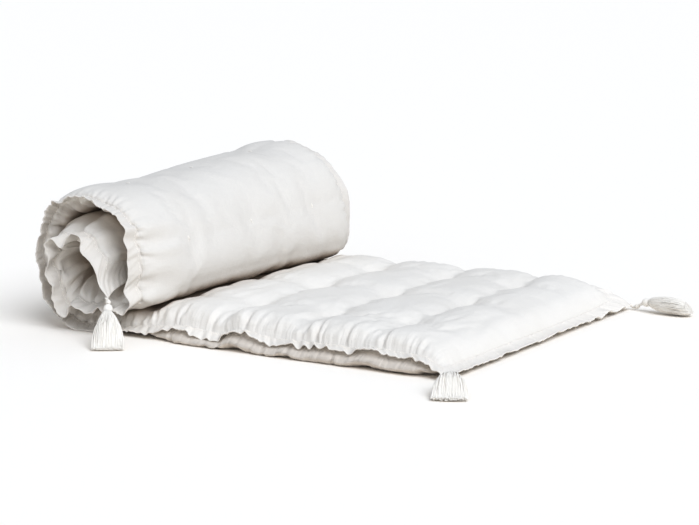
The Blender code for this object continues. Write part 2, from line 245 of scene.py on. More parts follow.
def smooth_step(t):
    t = np.clip(t, 0.0, 1.0)
    return t * t * (3 - 2 * t)


def catmull_rom(p0, p1, p2, p3, t):
    """Point of a smooth curve through p1 and p2, t from 0 to 1."""
    return 0.5 * (
        2 * p1
        + (p2 - p0) * t
        + (2 * p0 - 5 * p1 + 4 * p2 - p3) * t * t
        + (3 * p1 - p0 - 3 * p2 + p3) * t ** 3
    )


def smooth_value(rows, x):
    """Value at x of a smooth curve through (x, value) rows, whose x falls from row to row."""
    last = len(rows) - 1
    if x >= rows[0][0]:
        return rows[0][1]
    if x <= rows[last][0]:
        return rows[last][1]
    i = next(k for k in range(last) if rows[k + 1][0] <= x)
    t = (rows[i][0] - x) / (rows[i][0] - rows[i + 1][0])
    values = [rows[min(max(k, 0), last)][1] for k in range(i - 1, i + 3)]
    return catmull_rom(*values, t)


def curve_through(points, steps):
    """Dense smooth polyline through the points, steps to each span."""
    last = len(points) - 1
    ways = [(points[min(i + 1, last)] - points[max(i - 1, 0)]).normalized() for i in range(last + 1)]
    line = []
    for i in range(last):
        a, b = points[i], points[i + 1]
        span = (b - a).length
        for k in range(steps):
            t = k / steps
            blend = t * t * (3 - 2 * t)
            bend = ways[i] * (t ** 3 - 2 * t * t + t) + ways[i + 1] * (t ** 3 - t * t)
            line.append(a * (1 - blend) + b * blend + bend * span)
    return [*line, points[last]]


def spine_table():
    """Rows of distance from the flat end, middle x and z, near border x and z; and the flat run."""
    mids = curve_through([Vector((r[0], r[1])) * MM for r in WOUND], SPAN_STEPS)
    hems = curve_through([Vector((r[2], r[3])) * MM for r in WOUND], SPAN_STEPS)
    flat_run = LENGTH_ALONG_FLOOR - mids[0].x
    rows = []
    for k in range(FLAT_STEPS):
        s = flat_run * k / FLAT_STEPS
        x = LENGTH_ALONG_FLOOR - s
        mid_z = mix(END_MID, FLOOR_MID, smooth_step(s / END_RISE))
        mid_z = mix(mid_z, mids[0].y, max(0.0, (s / flat_run - 0.75) * 4))
        rows.append((s, x, mid_z, x, smooth_value(NEAR_BORDER, x / MM) * MM))
    s = flat_run
    for k, (mid, hem) in enumerate(zip(mids, hems)):
        s += (mid - mids[k - 1]).length if k else 0.0
        rows.append((s, mid.x, mid.y, hem.x, hem.y))
    return np.array(rows), flat_run


SPINE, FLAT_RUN = spine_table()
LENGTH = SPINE[-1, 0]
PAST_TOP = SPINE[FLAT_STEPS + TOP_ROW * SPAN_STEPS, 0]
COVERED = SPINE[FLAT_STEPS + COVERED_ROW * SPAN_STEPS, 0]
COUNT_LONG = round(LENGTH / BORDER_STEP)
COUNT_SHORT = round(2 * HALF_WIDTH / BORDER_STEP)
CONE_Y = np.linspace(-HALF_WIDTH, HALF_WIDTH, 140)
CONE_WIDE, CONE_TALL = (
    np.array([smooth_value([(r[0] * MM, r[i]) for r in CONE], y) for y in CONE_Y]) for i in (1, 2)
)
CONE_SAG = np.array([smooth_value([(r[0] * MM, r[1] * MM) for r in SAG], y) for y in CONE_Y])
FAR_X = np.linspace(0.0, LENGTH_ALONG_FLOOR, 300)
FAR_Z = np.array([smooth_value(FAR_BORDER, x / MM) * MM for x in FAR_X])
ROWS = round((LENGTH - 2 * ROW_MARGIN) / ROW_PITCH)


def wound_share(s):
    """0 on the floor, 1 at the inner end."""
    return np.maximum(0.0, (s - FLAT_RUN) / (LENGTH - FLAT_RUN))


def rolled(s, rate=8):
    """0 on the floor, rising to 1 over the first part, 1/rate, of what is wound up."""
    return np.minimum(1.0, wound_share(s) * rate)


def edge_round(inside, width):
    """Height of a rounded edge: 0 at the edge, 1 from its width inward."""
    return np.sqrt(1 - (1 - np.clip(inside / width, 0.0, 1.0)) ** 2)


def end_fullness(s):
    inner_end = edge_round(LENGTH - s - BORDER, EDGE_INNER_END * 1.8) ** 1.6
    flat_end = edge_round(s - BORDER, EDGE_FLAT_END * 2.3) ** 1.5
    return np.minimum(flat_end, inner_end)


def end_fullness_below(s):
    """The underside fills out sooner from the flat end than the top does."""
    return np.where(s < FLAT_RUN / 2, edge_round(s - BORDER, EDGE_FLAT_END * 1.15), end_fullness(s))


def side_fullness(s, y):
    width = mix(EDGE_FLAT, np.where(y < 0, EDGE_NEAR, EDGE_FAR), rolled(s))
    return edge_round(SEAM - np.abs(y), width)


def nearest_row(s):
    return ROW_MARGIN + ROW_PITCH * np.clip(np.round((s - ROW_MARGIN) / ROW_PITCH), 0, ROWS)


def quilt_depth(s, y):
    """Share of the thickness that the stitches draw in."""
    valley = np.exp(-(((s - nearest_row(s)) / ROW_HALF_WIDTH) ** 2))
    tuft = np.max([np.exp(-(((y - place) / TUFT_HALF_WIDTH) ** 2)) for place in TUFT_PLACES], axis=0)
    return valley * mix(ROW_DEPTH, TUFT_DEPTH, tuft)


def belly(s, y):
    """How far the underside swells out past its place across."""
    v = np.abs(y) / SEAM
    rise = np.where(v < 0.95, np.maximum(0.0, 1 - (0.95 - v) / 0.25) ** 1.5, 1.0)
    fall = np.where(v > 0.95, np.maximum(0.0, 1 - ((v - 0.95) / 0.05) ** 5), 1.0)
    return BELLY * end_fullness_below(s) * rise * fall


def slack(y):
    over = np.maximum(0.0, np.abs(y) - SEAM) / BORDER
    return mix(SLACK_AT_SEAM * np.minimum(1.0, np.abs(y) / SEAM) ** 5, 1.0, over)


def flute(s, y):
    near_edge = np.maximum(0.0, (np.abs(y) - SEAM * 0.93) / (HALF_WIDTH - SEAM * 0.93))
    turn = np.where(y > 0, 1.1, 0.0)
    waves = (share * np.sin(tau * s / long + phase + turn) for long, phase, share in FLUTE_LENGTHS)
    return FLUTE * near_edge ** 1.5 * sum(waves)


def lip_folds(s, y):
    """Folds of the whole thickness at the near end of the inner turns."""
    there = smooth_step((-y - 0.19) / 0.12) * smooth_step((s - PAST_TOP) / 0.10)
    wave = np.sin(tau * s / 0.057 + 0.8 + 9 * (y + SEAM)) + 0.6 * np.sin(tau * s / 0.034 + 2.1)
    return LIP_FOLD * there * wave


def middle(s, y):
    """x and z of the middle layer at distance s from the flat end and place y across."""
    mid_x, mid_z, hem_x, hem_z = (np.interp(s, SPINE[:, 0], SPINE[:, i]) for i in (1, 2, 3, 4))
    foot = WOUND[3][1] * MM
    wound = rolled(s)
    wide = mix(1.0, np.interp(y, CONE_Y, CONE_WIDE), wound)
    tall = mix(1.0, np.interp(y, CONE_Y, CONE_TALL), wound)
    tall = mix(1.0, tall, smooth_step((mid_z - 0.07) / 0.13))
    sag = np.interp(y, CONE_Y, CONE_SAG) * smooth_step((0.18 - mid_z) / 0.09)
    sag = sag * smooth_step((s - PAST_TOP) / 0.06)
    mid_x, mid_z = mid_x * wide, foot + (mid_z - foot) * tall - sag
    loose = slack(y)
    far_z = mix(np.interp(mid_x, FAR_X, FAR_Z), mid_z, wound)
    x = np.where(y < 0, mix(mid_x, hem_x, loose), mid_x)
    z = np.where(y < 0, mix(mid_z, hem_z, loose), mix(mid_z, far_z, loose))
    return x, z


def inward(s, y):
    """x and z of the unit way out of the middle layer on its inner or upper side."""
    delta = 0.004
    ax, az = middle(np.maximum(0.0, s - delta), y)
    bx, bz = middle(np.minimum(LENGTH, s + delta), y)
    size = np.hypot(bx - ax, bz - az)
    return (bz - az) / size, -(bx - ax) / size


def across(s, y):
    corner = np.exp(-((np.minimum(s, LENGTH - s) / 0.05) ** 2))
    ear = CORNER_EAR * corner * (np.abs(y) / HALF_WIDTH) ** 4
    return y + np.sign(y) * ear - TELESCOPE * wound_share(s)


def faces_of_case(s, y, least=0.0):
    """Points of the inner or upper face, and of the outer or lower face, as arrays of (..., 3)."""
    nx, nz = inward(s, y)
    half = mix(CROWN_FLAT, CROWN_WOUND, rolled(s, 9)) / 2 * side_fullness(s, y)
    depth = quilt_depth(s, y) * mix(TOP_QUILT, 1.0, rolled(s, 9))
    drawn_in = 1 - depth * mix(1.0, PACKED_SHARE, rolled(s, 6))
    up = np.maximum(least, half * end_fullness(s) * drawn_in)
    down = np.maximum(least, half * end_fullness_below(s) * (1 - depth * STRETCHED_SHARE))
    x, z = middle(s, y)
    wave = flute(s, y) + lip_folds(s, y)
    x, z = x + nx * wave, z + nz * wave
    ys = across(s, y)
    inner = np.stack([x + nx * up, ys, z + nz * up], axis=-1)
    outer = np.stack([x - nx * down, ys, z - nz * down], axis=-1)
    outer[..., 1] += np.sign(y) * belly(s, y) * (1 - rolled(s))
    pressed = smooth_step(1.6 - 1.6 * np.abs(s - LENGTH_ALONG_FLOOR) / FLAT_SPOT_HALF)
    pressed = pressed * smooth_step((SEAM - np.abs(y)) / 0.06)
    outer[..., 2] = np.maximum(0.0, outer[..., 2] - FLAT_SPOT_SINK * pressed)
    floor_side = np.where(s < FLAT_RUN, outer[..., 2] + 2 * least, 0.0)
    inner[..., 2] = np.maximum(floor_side, inner[..., 2])
    return inner, outer


def grid_places(size):
    """Distances along and places across of a grid over the filled case, closer together at its edges."""
    along, over = (np.linspace(-1, 1, n + 1) for n in size)
    along = 0.88 * along + 0.12 * np.sin(along * pi / 2)
    over = 0.42 * over + 0.58 * np.sin(over * pi / 2)
    s = LENGTH / 2 + along * (LENGTH / 2 - BORDER)
    return np.meshgrid(s, over * SEAM, indexing="ij")


def pillow_faces(n, m):
    """Corner numbers of a closed case of two grids of n by m points, joined at their edges, and the
    number of each outer point."""
    inner = np.arange(n * m).reshape(n, m)
    outer = inner.copy()
    outer[1:-1, 1:-1] = n * m + np.arange((n - 2) * (m - 2)).reshape(n - 2, m - 2)
    quads = []
    for grid, flip in ((inner, True), (outer, False)):
        a, b, c, d = grid[:-1, :-1], grid[1:, :-1], grid[1:, 1:], grid[:-1, 1:]
        loop = (a, d, c, b) if flip else (a, b, c, d)
        quads.append(np.stack([g.ravel() for g in loop], axis=1))
    return np.concatenate(quads), outer


def pillow_points(inner, outer):
    return np.concatenate([inner.reshape(-1, 3), outer[1:-1, 1:-1].reshape(-1, 3)])


def grid_normals(points):
    """Unit normals of a grid of points (n, m, 3)."""
    a, b = np.gradient(points, axis=0), np.gradient(points, axis=1)
    normal = np.cross(a, b)
    return normal / np.maximum(1e-9, np.linalg.norm(normal, axis=-1, keepdims=True))


def blurred(field, along, over):
    """Grid field smoothed by repeated neighbour means, a number of passes each way."""
    for axis, passes in ((0, along), (1, over)):
        here = np.arange(field.shape[axis])
        before, after = np.maximum(here - 1, 0), np.minimum(here + 1, here[-1])
        for _ in range(passes):
            field = (np.take(field, before, axis) + 2 * field + np.take(field, after, axis)) / 4
    return field


def resampled(field, size):
    """Grid field (n, m, ...) read on a finer grid of size steps, smooth along both ways."""
    for axis, steps in enumerate(size):
        n = field.shape[axis]
        at = np.linspace(0, n - 1, steps + 1)
        k = np.clip(np.floor(at).astype(int), 0, n - 2)
        t = (at - k).reshape([-1 if i == axis else 1 for i in range(field.ndim)])
        parts = [np.take(field, np.clip(k + d, 0, n - 1), axis) for d in (-1, 0, 1, 2)]
        field = catmull_rom(*parts, t)
    return field


def new_object(name, points, faces, material):
    mesh = bpy.data.meshes.new(name)
    mesh.from_pydata(points, [], faces)
    mesh.validate()
    bm = bmesh.new()
    bm.from_mesh(mesh)
    bmesh.ops.recalc_face_normals(bm, faces=bm.faces)
    bm.to_mesh(mesh)
    bm.free()
    mesh.shade_smooth()
    if material:
        mesh.materials.append(material)
    obj = bpy.data.objects.new(name, mesh)
    bpy.context.scene.collection.objects.link(obj)
    return obj


def clearance(inner, outer, quads):
    """Free way in front of each point of both faces, up to FREE_REACH."""
    tree = BVHTree.FromPolygons(pillow_points(inner, outer).tolist(), quads.tolist())
    found = []
    for face, sign in ((inner, -1), (outer, 1)):
        normals = grid_normals(face) * sign
        free = np.full(face.shape[:2], FREE_REACH)
        for at in np.ndindex(free.shape):
            way = Vector(normals[at])
            hit = tree.ray_cast(Vector(face[at]) + way * RAY_START, way, FREE_REACH)
            if hit[0] is not None:
                free[at] = hit[3] + RAY_START
        found.append(free)
    return found


def simulate():
    """Cloth puffed up between its seams and tufts: how far each coarse grid point of both faces moves."""
    s, y = grid_places(COARSE)
    inner, outer = faces_of_case(s, y)
    quads, outer_number = pillow_faces(*s.shape)
    case = new_object("sim_case", pillow_points(inner, outer), quads, None)
    group = case.vertex_groups.new(name="held")
    row = np.exp(-(((s - nearest_row(s)) / 0.006) ** 2))
    tuft = np.max([np.exp(-(((y - place) / 0.012) ** 2)) for place in TUFT_PLACES], axis=0) * row
    held = np.clip(np.maximum(tuft * 1.6, row * 0.35), 0, 1)
    held[0, :] = held[-1, :] = held[:, 0] = held[:, -1] = 1.0
    for numbers in (np.arange(s.size), outer_number.ravel()):
        for number, weight in zip(numbers, held.ravel()):
            if weight > 0.02:
                group.add([int(number)], float(weight), "REPLACE")
    cloth = case.modifiers.new("cloth", "CLOTH")
    for key, value in CLOTH_SETUP.items():
        setattr(cloth.settings, key, value)
    cloth.settings.effector_weights.gravity = 0
    cloth.collision_settings.use_collision = False
    cloth.collision_settings.use_self_collision = False
    cloth.point_cache.frame_end = SIM_FRAMES
    for number in range(1, SIM_FRAMES + 1):
        bpy.context.scene.frame_set(number)
    settled = case.evaluated_get(bpy.context.evaluated_depsgraph_get()).to_mesh()
    moved = np.empty(len(settled.vertices) * 3)
    settled.vertices.foreach_get("co", moved)
    moved = moved.reshape(-1, 3)
    bpy.context.scene.frame_set(1)
    bpy.data.objects.remove(case)
    return moved[: s.size].reshape(inner.shape) - inner, moved[outer_number] - outer


def creases(s, y, rows):
    """Heights of sewn-in creases. Rows have place along, side, depth, reach from the seam, width, lean."""
    height = np.zeros_like(s)
    inside = SEAM - np.abs(y)
    for place, side, depth, reach, width, lean in rows:
        here = (np.abs(s - place) < 0.06) & (np.sign(y) == side) & (inside < reach)
        ds = s[here] - place - lean * inside[here]
        d = inside[here]
        wide = width + 0.08 * d
        fade = np.minimum(1, d / 0.003) * (1 - d / reach) ** 1.3
        bulge = np.exp(-((np.abs(ds) - 2.1 * wide) / (1.1 * wide)) ** 2) * 0.35
        height[here] += depth * fade * (bulge - np.exp(-((ds / wide) ** 2)))
    return height


def end_creases(s, y, at_inner_end):
    """Small gathers along the seam of a short end."""
    height = np.zeros_like(s)
    inside = (LENGTH - s if at_inner_end else s) - BORDER
    place = -SEAM + 0.01
    while place < SEAM:
        depth, reach = uniform(0.0006, 0.0018), uniform(0.018, 0.05)
        here = (inside < reach) & (np.abs(y - place) < 0.03)
        d = inside[here]
        wide = 0.0045 + 0.12 * d
        fade = np.minimum(1, d / 0.003) * (1 - d / reach) ** 1.3
        height[here] -= depth * fade * np.exp(-(((y[here] - place) / wide) ** 2))
        place += uniform(0.014, 0.026)
    return height


def strokes(s, y, rows):
    """Soft folds: place along and across, turn, half length, half width, height."""
    height = np.zeros_like(s)
    for s0, y0, turn, long, wide, high in rows:
        here = (np.abs(s - s0) < long * 2.2) & (np.abs(y - y0) < long * 2.2)
        ds, dy = s[here] - s0, y[here] - y0
        u = ds * cos(turn) + dy * sin(turn)
        v = dy * cos(turn) - ds * sin(turn) + 1.6 * u * u
        height[here] += high * np.exp(-((u / long) ** 2) - (v / wide) ** 2)
    return height


def seam_gathers(side, lower):
    """Rows for creases() along one long seam of one face: place, side, depth, reach, width, lean."""
    rows = []
    place = BORDER + 0.010
    while place < LENGTH - BORDER:
        wound = bool(place > FLAT_RUN + 0.05)
        deep = RNG.random() ** (1 if wound else 2)
        depths, reaches, pitches = GATHERS[wound, lower]
        reach, width, lean = uniform(*reaches), uniform(0.0019, 0.0034), uniform(-0.4, 0.4)
        rows.append((place, side, mix(*depths, deep), reach, width, lean))
        place += uniform(*pitches)
    if side < 0 and not lower:
        place = FLAT_RUN + 0.10
        while place < LENGTH - 0.05:
            depth, reach = uniform(0.005, 0.010), uniform(0.055, 0.110)
            width, lean = uniform(0.0050, 0.0080), uniform(-0.3, 0.3)
            rows.append((place, side, depth, reach, width, lean))
            place += uniform(0.026, 0.048)
    return rows


def soft_folds(lower):
    """Rows for strokes(): puckers round the tufts, and long shallow folds between the rows."""
    folds = []
    for row in range(ROWS + 1):
        at = ROW_MARGIN + row * ROW_PITCH
        for place in TUFT_PLACES:
            for k in range(7):
                turn = tau * (k + uniform(-0.3, 0.3)) / 7
                out = uniform(0.018, 0.030)
                folds.append((at + out * cos(turn), place + out * sin(turn), turn,
                              uniform(0.010, 0.020), uniform(0.0032, 0.0050),
                              uniform(-0.0012, -0.0003)))
    for _ in range(150):
        s0, y0 = uniform(0.05, LENGTH - 0.06), uniform(-0.29, 0.29)
        if s0 < FLAT_RUN:
            turn = RNG.gauss(pi / 2, 0.28) if RNG.random() < 0.6 else RNG.gauss(-0.55, 0.25)
        else:
            turn = RNG.gauss(0.5, 0.5)
        folds.append((s0, y0, turn, uniform(0.025, 0.075), uniform(0.0045, 0.009),
                      uniform(-0.0013, 0.0010)))
    if not lower:
        for _ in range(60):
            folds.append((uniform(0.06, FLAT_RUN), -uniform(0.10, 0.28),
                          RNG.gauss(1.75, 0.3), uniform(0.030, 0.070), uniform(0.0045, 0.0075),
                          uniform(-0.0020, 0.0012)))
    return folds


def sewn_detail(s, y, lower):
    """Heights of the creases, gathers and soft folds of one face of the case."""
    rows = seam_gathers(-1, lower) + seam_gathers(1, lower)
    if not lower:
        rows += [(p, -1, d, r, w, a) for p, d, r, w, a in DEEP_CREASES]
    calm = 1 - 0.75 * smooth_step((s - LENGTH + 0.15) / 0.07)
    height = creases(s, y, rows) * calm
    height += end_creases(s, y, False) + end_creases(s, y, True)
    return height + strokes(s, y, soft_folds(lower)) * np.minimum(1, (SEAM - np.abs(y)) / 0.02)


def nestled(free):
    """How far a face swells towards the one that it nearly touches, so that thin gaps close."""
    near = smooth_step(1 - free / NESTLE_REACH)
    return near * np.maximum(0.0, free / 2 - 0.0008)


def limited(shift, cap):
    """Shifts (n, m, 3) smoothly held under the cap (n, m)."""
    size = np.linalg.norm(shift, axis=-1, keepdims=True)
    cap = cap[..., None]
    return shift * (cap * np.tanh(size / np.maximum(cap, 1e-6)) / np.maximum(size, 1e-9))


def make_case(cloth):
    """The filled case: the CAD's surface, with the simulated cloth's folds and the sewn detail on it."""
    s, y = grid_places(FINE)
    inner, outer = faces_of_case(s, y)
    quads, _ = pillow_faces(*s.shape)
    coarse = faces_of_case(*grid_places(COARSE))
    free = clearance(*coarse, pillow_faces(*coarse[0].shape[:2])[0])
    free = [np.maximum(0.0, resampled(blurred(f, 1, 1), FINE)) for f in free]
    shifts = [np.zeros_like(inner), np.zeros_like(outer)]
    shifts = [resampled(move - blurred(move, *SIM_BROAD), FINE) for move in simulate()]
    wound = rolled(s)
    top = SIM_TOP * smooth_step((s - BORDER) / 0.09)
    weights = mix(top, SIM_INNER, wound), mix(SIM_BELOW, SIM_OUTER, wound)
    from_side, from_end = SEAM - np.abs(y), np.minimum(s, LENGTH - s) - BORDER
    edge = np.maximum(0, np.minimum(1, from_side / SEAM_CALM) * np.minimum(1, from_end / SEAM_CALM))
    thick = np.linalg.norm(inner - outer, axis=-1)
    gathered = np.exp(-from_side / 0.035) * (1 - 0.65 * wound)
    made, places, shades_and_gathers = [], [], []
    for k, (face, sign) in enumerate(((inner, -1), (outer, 1))):
        shift = shifts[k] * (edge * weights[k])[..., None]
        moved = face + limited(shift, np.minimum(SIM_CAP, free[k] * 0.3))
        height = np.minimum(sewn_detail(s, y, k == 1), free[k] * 0.25)
        height = np.maximum(height, -0.32 * thick - 0.0012)
        height += 0.8 * nestled(blurred(free[k], 6, 2)) * edge
        height[:, (0, -1)] = 0
        height[(0, -1), :] = 0
        made.append(moved + grid_normals(face) * sign * height[..., None])
        places.append(np.stack([s, y, np.minimum(from_side, from_end) * k], -1))
        # Painted shade in crevices, in the roll and underneath; then the puckers' gathering; then the
        # painted dimming of the roll's outer face
        shades_and_gathers.append(np.stack([cloth_painted_shade(s, y, k == 1, free[k]), gathered, ROLL_PAINTED_SHADE * wound * k], -1))
    inner, outer = made
    outer[0], outer[-1], outer[:, 0], outer[:, -1] = inner[0], inner[-1], inner[:, 0], inner[:, -1]
    points = pillow_points(inner, outer)
    points[:, 2] = np.maximum(points[:, 2], 0.0004)
    case = new_object("quilted_case", points, quads, cloth)
    mark_cloth(case, pillow_points(*places), pillow_points(*shades_and_gathers))
    return case


def cloth_painted_shade(s, y, lower, free):
    """Painted shade: 0 on open cloth, up to 1 where warm shade is painted into the colour: in crevices, in
    the roll and underneath.
    """
    wound = rolled(s, 6)
    crevice_shade = 1 - smooth_step(free / 0.040)
    inside = PAINTED_SHADE_INSIDE * wound * smooth_step((SEAM - np.abs(y)) / 0.085 - 0.05)
    under = np.maximum(PAINTED_SHADE_UNDER * (1 - wound), inside * smooth_step((s - COVERED) / 0.06))
    crevice_shade = crevice_shade * mix(0.45, 1.0, smooth_step((SEAM - np.abs(y)) / 0.05))
    return np.maximum(crevice_shade, under if lower else inside)


def mark_cloth(obj, places, shades_and_gathers):
    """Point values that the cloth's material reads: place on the cloth; painted shade, gathering and
    painted dimming.
    """
    for name, values in (("cloth_place", places), ("cloth_painted_shade", shades_and_gathers)):
        marks = obj.data.attributes.new(name, "FLOAT_VECTOR", "POINT")
        marks.data.foreach_set("vector", np.ascontiguousarray(values, dtype=float).ravel())


def border_path(t):
    """Places along and across of a loop round the mattress: t is 0 on the seam and 1 on the edge."""
    low, high, side = BORDER * (1 - t), LENGTH - BORDER * (1 - t), SEAM + BORDER * t
    long = np.linspace(0, 1, COUNT_LONG, endpoint=False)
    short = np.linspace(0, 1, COUNT_SHORT, endpoint=False)
    still_long, still_short = np.ones(COUNT_LONG), np.ones(COUNT_SHORT)
    s = [mix(low, high, long), high * still_short, mix(high, low, long), low * still_short]
    y = [-side * still_long, mix(-side, side, short), side * still_long, mix(side, -side, short)]
    return np.concatenate(s), np.concatenate(y)


def ring_noise(count, knots):
    """Smooth random values from -1 to 1 round a closed loop of count points."""
    values = np.array([uniform(-1, 1) for _ in range(knots)])
    at = np.arange(count) * knots / count
    k = at.astype(int)
    return catmull_rom(*(values[(k + d) % knots] for d in (-1, 0, 1, 2)), at - k)


def border_wave(count, total):
    """Ruffle of the border by place round it: broad waves, and sharper small pleats."""
    broad, small, pleats, strong = (ring_noise(count, round(total / long)) for long in RUFFLE_LENGTHS)
    strong = 0.75 + 0.45 * strong
    pleats = (1 - 2.6 * np.abs(pleats)) * np.clip(0.5 + strong * 0.5, 0.3, 1.3)
    return (broad + 0.5 * small) * strong, pleats


def notches(s, y):
    """Sharp tucks of the long borders, at the near seam's deepest gathers and now and then between."""
    lift = np.zeros_like(s)
    for side in (-1, 1):
        places = [row[0] for row in DEEP_CREASES] if side < 0 else []
        place = 0.06
        while place < LENGTH - 0.03:
            places.append(place)
            place += uniform(0.028, 0.062)
        for place in places:
            size, width = uniform(0.0016, 0.0048), uniform(0.0040, 0.0085)
            size *= 0.65 if place > FLAT_RUN else 1.0
            here = (s - place) / (width * RNG.choice((-1, 1)))
            lift += np.where(y * side >= SEAM - 1e-6, size * here * np.exp(-here ** 2) * 1.8, 0.0)
    return lift


def border_looseness(s, y):
    """Share of the full ruffle: less on the roll's far end and the inner end, more on the flat end."""
    wound = rolled(s)
    loose = np.where(y > 0.3, mix(0.9, 0.35, wound), 1.0)
    loose = np.where((s > LENGTH - 1.5 * BORDER) & (np.abs(y) < SEAM), 0.45, loose)
    return np.where((s < BORDER * 1.01) & (np.abs(y) < SEAM), 1.35, loose)


def border_sheet(ts, waves):
    """Points and ways up of the border's middle, at each t of ts."""
    broad, fine, notch = waves
    points, ups, places = [], [], []
    for t in ts:
        s, y = border_path(t)
        x, z = middle(s, y)
        nx, nz = inward(s, y)
        out = max(0.0, t)
        wound = rolled(s)
        loose = border_looseness(s, y)
        ruffle = broad * mix(*RUFFLE_HIGH, wound) * out ** 1.3
        pleat = fine * mix(*PLEAT_HIGH, wound) * (0.5 + 1.1 * out - 0.9 * out * out) * (t > -0.1)
        tuck = notch * (0.3 + 0.7 * out) * (t > -0.1)
        raised = END_LIFT * out * (s < BORDER * 1.01) * (np.abs(y) < SEAM + 0.001)
        lift = flute(s, y) + lip_folds(s, y) + (ruffle + pleat + tuck) * loose + raised
        ys = across(s, y) + np.sign(y) * (broad * 0.0014 - 0.0007 * fine) * out * loose
        up = np.stack([nx, np.zeros_like(nx), nz], -1)
        spot = np.stack([x, ys, z], -1) + up * lift[:, None]
        spot[:, 2] = np.maximum(spot[:, 2], 0.0017)
        points.append(spot)
        ups.append(up)
        places.append(np.stack([s, y], -1))
    return points, ups, places


def make_border(cloth):
    """(flat border of doubled cloth on all four sides, the waves that ruffle it)."""
    count = 2 * (COUNT_LONG + COUNT_SHORT)
    broad, pleats = border_wave(count, 2 * (LENGTH + 2 * HALF_WIDTH))
    waves = broad, pleats, notches(*border_path(0.0))
    ts, thick = zip(*BORDER_SECTION)
    points, ups, places = border_sheet(ts, waves)
    loops = [p + u * h for p, u, h in zip(points, ups, thick)]
    loops += [p - u * h for p, u, h in reversed(list(zip(points, ups, thick)))]
    a = np.arange(len(loops) * count).reshape(-1, count)
    b = np.roll(a, -1, 0)
    quads = np.stack([a, np.roll(a, -1, 1), np.roll(b, -1, 1), b], -1).reshape(-1, 4)
    verts = np.concatenate(loops)
    verts[:, 2] = np.maximum(verts[:, 2], FLOOR_GAP)
    border = new_object("border", verts, quads, cloth)
    s, y = np.concatenate(places + places[::-1]).T
    none = np.zeros(len(s))
    # Painted shade: the border is dimmed where it is wound in the roll
    painted_dim = 1.3 * ROLL_PAINTED_SHADE * rolled(s)
    mark_cloth(border, np.stack([s, y, none], -1), np.stack([none, none, painted_dim], -1))
    return border, waves


def lofted(rings):
    """Vertices and faces of a closed skin over rings of points."""
    sides = len(rings[0])
    verts = [v for ring in rings for v in ring]
    faces = []
    for i in range(len(rings) - 1):
        for k in range(sides):
            m = (k + 1) % sides
            faces.append((i * sides + k, i * sides + m, (i + 1) * sides + m, (i + 1) * sides + k))
    faces.append(tuple(reversed(range(sides))))
    faces.append(tuple(range(len(verts) - sides, len(verts))))
    return verts, faces


def tube(points, radius, sides):
    """Vertices and faces of a round tube; radius may be one number or one for each point."""
    points = [Vector(p) for p in points]
    radii = radius if hasattr(radius, "__len__") else [radius] * len(points)
    last = len(points) - 1
    rings = []
    side = (points[1] - points[0]).normalized().orthogonal().normalized()
    for i, point in enumerate(points):
        way = (points[min(i + 1, last)] - points[max(i - 1, 0)]).normalized()
        side = (side - way * side.dot(way)).normalized()
        up = way.cross(side)
        turns = [tau * k / sides for k in range(sides)]
        rings.append([point + (side * cos(a) + up * sin(a)) * radii[i] for a in turns])
    return lofted(rings)


class Pile:
    """Gathers small closed shapes into one mesh."""

    def __init__(self):
        self.verts, self.faces = [], []

    def add(self, shape):
        start = len(self.verts)
        verts, faces = shape
        self.verts += verts
        self.faces += [tuple(start + i for i in face) for face in faces]

    def make(self, name, material):
        return new_object(name, self.verts, self.faces, material)


def make_stitches(thread, waves):
    """Running stitches on both faces of the long seams, where the border meets the filled case."""
    points, ups, _ = border_sheet((0.10, 0.16), waves)
    line, up = (points[0] + points[1]) / 2, ups[0]
    steps = np.linalg.norm(np.roll(line, -1, 0) - line, axis=1)
    at = np.concatenate([[0], np.cumsum(steps)])
    line, up = np.concatenate([line, line[:1]]), np.concatenate([up, up[:1]])
    inner_end = at[COUNT_LONG], at[COUNT_LONG + COUNT_SHORT]
    flat_end = at[2 * COUNT_LONG + COUNT_SHORT]
    pile = Pile()
    count = int(at[-1] / STITCH_PITCH)
    for face in (1, -1):
        for k in range(count):
            start = (k + (0.25 if face > 0 else 0.55)) * STITCH_PITCH
            if inner_end[0] < start < inner_end[1] or start > flat_end:
                continue
            spots = []
            for f, rise in ((0.0, 0.0), (0.25, 0.9), (0.75, 0.9), (1.0, 0.0)):
                d = start + f * STITCH_PITCH * 0.62
                p, n = (np.array([np.interp(d, at, rows[:, i]) for i in range(3)]) for rows in (line, up))
                spots.append(p + n * face * (0.0007 + 0.0007 * rise))
            pile.add(tube(spots, STITCH_R, 5))
    return pile.make("border_stitches", thread)


def make_tufts(thread, case):
    """Short doubled stitches that tie the filling down at each tuft, on both faces."""
    pile = Pile()
    tree = BVHTree.FromPolygons([v.co for v in case.data.vertices],
                                [tuple(p.vertices) for p in case.data.polygons])
    for row in range(ROWS + 1):
        for place in TUFT_PLACES:
            s, y = np.array([ROW_MARGIN + row * ROW_PITCH]), np.array([place])
            nx, nz = inward(s, y)
            for face, points in zip((1, -1), faces_of_case(s, y)):
                up = Vector((nx[0], 0.0, nz[0])) * face
                spot = tree.find_nearest(Vector(points[0]) - up * 0.001)[0]
                if spot.z < 0.004:
                    continue
                way = up.cross(Vector((0, 1, 0))).normalized()
                for shift, turn in ((-0.0008, 0.12), (0.0008, -0.16)):
                    run = (way * cos(turn) + Vector((0, 1, 0)) * sin(turn)) * TUFT_STITCH_HALF
                    base = spot + Vector((0, shift, 0))
                    line = [base + run * share + up * high for share, high in TUFT_STITCH]
                    pile.add(tube(line, TUFT_STITCH_R, 6))
    return pile.make("tuft_stitches", thread)


